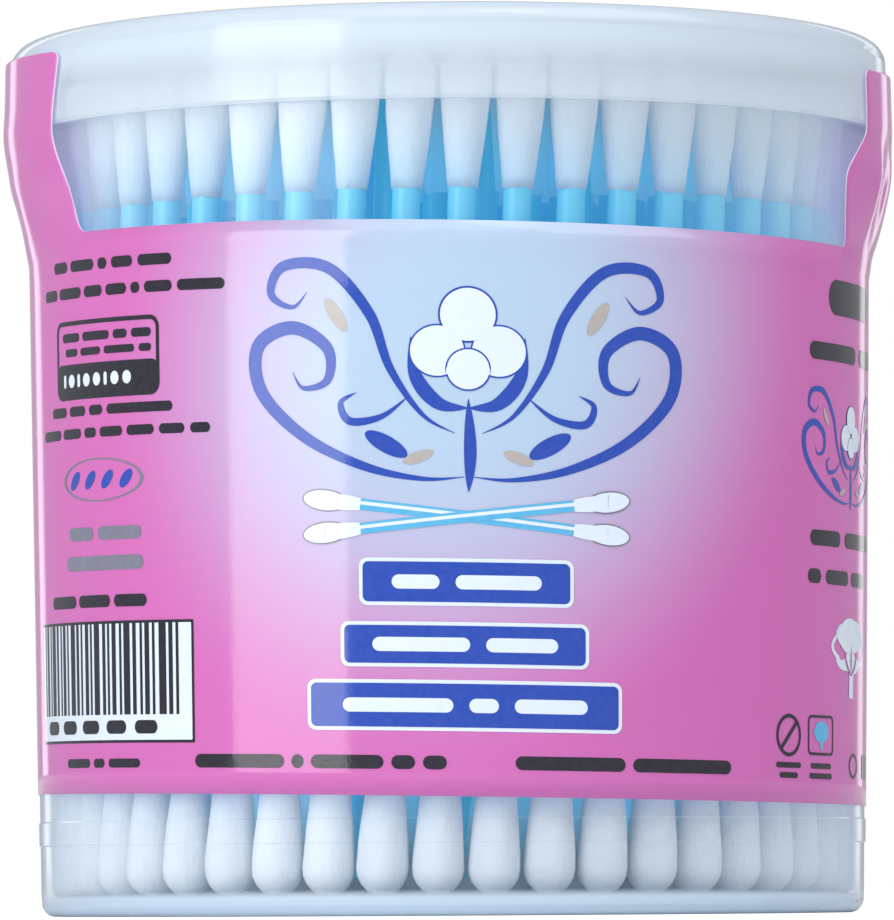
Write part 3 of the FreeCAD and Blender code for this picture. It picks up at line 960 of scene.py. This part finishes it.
class SWABTUB_OT_sticks(bpy.types.Operator):
    """Gives the swab sticks their blue plastic"""
    bl_idname = "swabtub.sticks"
    bl_label = "Sticks"

    def execute(self, context):
        # The outer row's sticks are painted paler as painted light; the inner rows stay deeper, as in shade
        outer = stick_plastic("stick_outer_painted_light", 0.14)
        inner = stick_plastic("stick_inner", 0.0)
        for row in ROWS:
            dress_node(f"sticks_row_{row}", outer if row == 1 else inner)
        return {"FINISHED"}


class SWABTUB_OT_tips(bpy.types.Operator):
    """Winds the cotton tips on the sticks"""
    bl_idname = "swabtub.tips"
    bl_label = "Cotton Tips"

    def execute(self, context):
        # The cotton is painted with blue bounce light from the sticks between two heights, in millimetres
        for upper, name, start, end in ((True, "upper", 72, 62), (False, "lower", 7, 15)):
            # Inner rows get more painted blue and a painted cyan glow, as if in the blue shade between the
            # swabs; the upper outer row gets a faint painted white glow
            outer = cotton_wool(f"cotton_{name}_outer", 0.45, start, end, 0.09 if upper else 0.0)
            way = 1 if upper else -1
            inner = cotton_wool(f"cotton_{name}_inner", 0.95, start + 4 * way, end + 3 * way, 0.5, True)
            for row in ROWS:
                material = outer if row == 1 else inner
                piece = new_piece(f"cotton_{name}_row_{row}", build_tips(row, upper), "tub_body", material)
                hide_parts(f"{name}_tips_row_{row}")
        return {"FINISHED"}


class SWABTUB_OT_label(bpy.types.Operator):
    """Wraps the printed film round the tub"""
    bl_idname = "swabtub.label"
    bl_label = "Label Film"

    def execute(self, context):
        # Painted highlight: the film's cut edge is pale, standing in for the light lines along the tabs'
        # edges
        edge = ink("film_edge_painted_highlight", (0.80, 0.74, 0.84), 0.3)
        back = ink("film_back_painted_glow", (0.76, 0.58, 0.80), 0.2)
        # Painted glow: the back of the film emits lavender, standing in for light coming through the film
        shader = back.node_tree.nodes["Principled BSDF"]
        shader.inputs["Emission Color"].default_value = (0.78, 0.60, 0.86, 1)
        shader.inputs["Emission Strength"].default_value = 0.35
        film = new_piece("label_film", build_film(), "tub_body", label_ground(), edge, back)
        thick = film.modifiers.new("Thickness", "SOLIDIFY")
        thick.thickness = settings().film * MM
        thick.offset = 1
        thick.use_rim = True
        thick.material_offset_rim = 1
        thick.material_offset = 2
        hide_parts("label")
        return {"FINISHED"}


class SWABTUB_OT_print(bpy.types.Operator):
    """Prints plain shapes on the label"""
    bl_idname = "swabtub.print"
    bl_label = "Label Print"

    def execute(self, context):
        look = settings()
        inks = [
            ink("ink_navy", tuple(look.navy), 0.03),
            ink("ink_black", (0.012, 0.010, 0.022), 0.02),
            ink("ink_white", (0.70, 0.80, 0.90), 0.2),
            ink("ink_cyan", (0.05, 0.42, 0.72), 0.12),
            ink("ink_grey", (0.17, 0.17, 0.24), 0.08),
            ink("ink_beige", (0.42, 0.38, 0.36), 0.1),
            ink("ink_pink", (0.40, 0.10, 0.34), 0.05),
        ]
        for name, draw in (("front", draw_front), ("left", draw_left), ("right", draw_right)):
            sheet = PrintSheet()
            draw(sheet)
            bmesh.ops.dissolve_degenerate(sheet.bm, dist=1e-6, edges=sheet.bm.edges)
            face_outwards(sheet.bm)
            piece = new_piece(f"label_print_{name}", sheet.bm, "tub_body", *inks)
        return {"FINISHED"}


class SWABTUB_OT_stage(bpy.types.Operator):
    """Sets the floor, the light and the camera"""
    bl_idname = "swabtub.stage"
    bl_label = "Stage"

    def execute(self, context):
        scene = context.scene
        set_floor(scene)
        scene.cycles.transparent_max_bounces = 24
        scene.cycles.diffuse_bounces = 3
        scene.cycles.max_bounces = 6
        set_world(scene)
        add_lamp("key_left", (-43.5, 0.5, 0.15), (0.31, 0.42), 1.5)
        add_lamp("top_front", (-5, 0.45, 0.75), (0.6, 0.6), 1.5)
        add_lamp("top_right", (55, 0.45, 0.70), (0.6, 0.6), 2.4)
        add_lamp("edge_left", (-152, 0.7, 0.10), (0.09, 0.8), 0.3)
        add_lamp("edge_right", (154, 0.7, 0.10), (0.09, 0.8), 0.25)
        set_camera(scene)
        return {"FINISHED"}


def set_floor(scene):
    """A plain pale floor that fades to white away from the tub and keeps its shadow."""
    bm = bmesh.new()
    bmesh.ops.create_grid(bm, x_segments=8, y_segments=8, size=3)
    mesh = bpy.data.meshes.new("floor")
    bm.to_mesh(mesh)
    bm.free()
    floor = bpy.data.objects.new("floor", mesh)
    scene.collection.objects.link(floor)
    material, nodes, links, shader = new_material("pale_floor")
    patches = object_noise(nodes, links, 3, 2)
    ground = mixed(nodes, links, patches, (0.86, 0.87, 0.89), (0.84, 0.85, 0.87))
    links.new(ground, shader.inputs["Base Color"])
    shader.inputs["Roughness"].default_value = 0.8
    mesh.materials.append(material)
    place = nodes.new("ShaderNodeTexCoord")
    far = nodes.new("ShaderNodeVectorMath")
    far.operation = "LENGTH"
    links.new(place.outputs["Object"], far.inputs[0])
    glow = nodes.new("ShaderNodeEmission")
    strength = smooth_share(nodes, links, far.outputs["Value"], 0.05, 0.30, 0.68, 1.0)
    links.new(strength, glow.inputs["Strength"])
    shaded = nodes.new("ShaderNodeBsdfDiffuse")
    shaded.inputs["Color"].default_value = (0.45, 0.45, 0.46, 1)
    seen = nodes.new("ShaderNodeAddShader")
    links.new(glow.outputs[0], seen.inputs[0])
    links.new(shaded.outputs[0], seen.inputs[1])
    by_camera(nodes, links, shader, seen, "Material Output")


def set_world(scene):
    """Plain soft surroundings that look white where they are seen."""
    world = bpy.data.worlds.new("studio")
    world.use_nodes = True
    scene.world = world
    nodes = world.node_tree.nodes
    links = world.node_tree.links
    ambient = nodes["Background"]
    ambient.inputs["Color"].default_value = (0.93, 0.96, 1.0, 1)
    ambient.inputs["Strength"].default_value = 0.5
    seen = nodes.new("ShaderNodeBackground")
    seen.inputs["Color"].default_value = (1, 1, 1, 1)
    seen.inputs["Strength"].default_value = 1.0
    by_camera(nodes, links, ambient, seen, "World Output")


def add_lamp(name, place, size, power):
    """A soft box at (degrees from the front, distance, height), aimed at the middle of the tub."""
    degrees, distance, height = place
    data = bpy.data.lights.new(name, "AREA")
    data.shape = "RECTANGLE"
    data.size, data.size_y = size
    data.energy = power
    lamp = bpy.data.objects.new(name, data)
    a = math.radians(degrees)
    lamp.location = (distance * math.sin(a), -distance * math.cos(a), height)
    aim = Vector((0, 0, 0.04)) - lamp.location
    lamp.rotation_euler = aim.to_track_quat("-Z", "Y").to_euler()
    bpy.context.scene.collection.objects.link(lamp)


def set_camera(scene):
    """The photo's view: close to the table, with a long lens."""
    focal_pixels = 7683
    picture_width = 894
    data = bpy.data.cameras.new("camera")
    data.sensor_fit = "HORIZONTAL"
    data.sensor_width = 36
    data.lens = data.sensor_width * focal_pixels / picture_width
    data.clip_end = 20
    camera = bpy.data.objects.new("camera", data)
    camera.location = (0.0, -0.707, 0.0025)
    aim = Vector((-0.0003, 0, 0.0418)) - camera.location
    camera.rotation_euler = aim.to_track_quat("-Z", "Y").to_euler()
    camera.rotation_euler.rotate_axis("Z", -math.radians(0.33))
    scene.collection.objects.link(camera)
    scene.camera = camera


class SWABTUB_PT_panel(bpy.types.Panel):
    """The swab tub's settings and pieces"""
    bl_idname = "SWABTUB_PT_panel"
    bl_label = "Swab Tub"
    bl_space_type = "VIEW_3D"
    bl_region_type = "UI"
    bl_category = "Swab Tub"

    def draw(self, context):
        look = context.scene.swab_tub
        for name in look.__annotations__:
            self.layout.prop(look, name)
        for piece in PIECES:
            self.layout.operator(piece.bl_idname)


PIECES = (
    SWABTUB_OT_tub,
    SWABTUB_OT_lid,
    SWABTUB_OT_sticks,
    SWABTUB_OT_tips,
    SWABTUB_OT_label,
    SWABTUB_OT_print,
    SWABTUB_OT_stage,
)
CLASSES = (SwabTubSettings, *PIECES, SWABTUB_PT_panel)


def register():
    for cls in CLASSES:
        bpy.utils.register_class(cls)
    bpy.types.Scene.swab_tub = PointerProperty(type=SwabTubSettings)


def unregister():
    del bpy.types.Scene.swab_tub
    for cls in reversed(CLASSES):
        bpy.utils.unregister_class(cls)


def main():
    register()
    bpy.context.scene.view_settings.view_transform = "Standard"
    for piece in PIECES:
        group, name = piece.bl_idname.split(".")
        getattr(getattr(bpy.ops, group), name)()


if __name__ == "__main__":
    main()
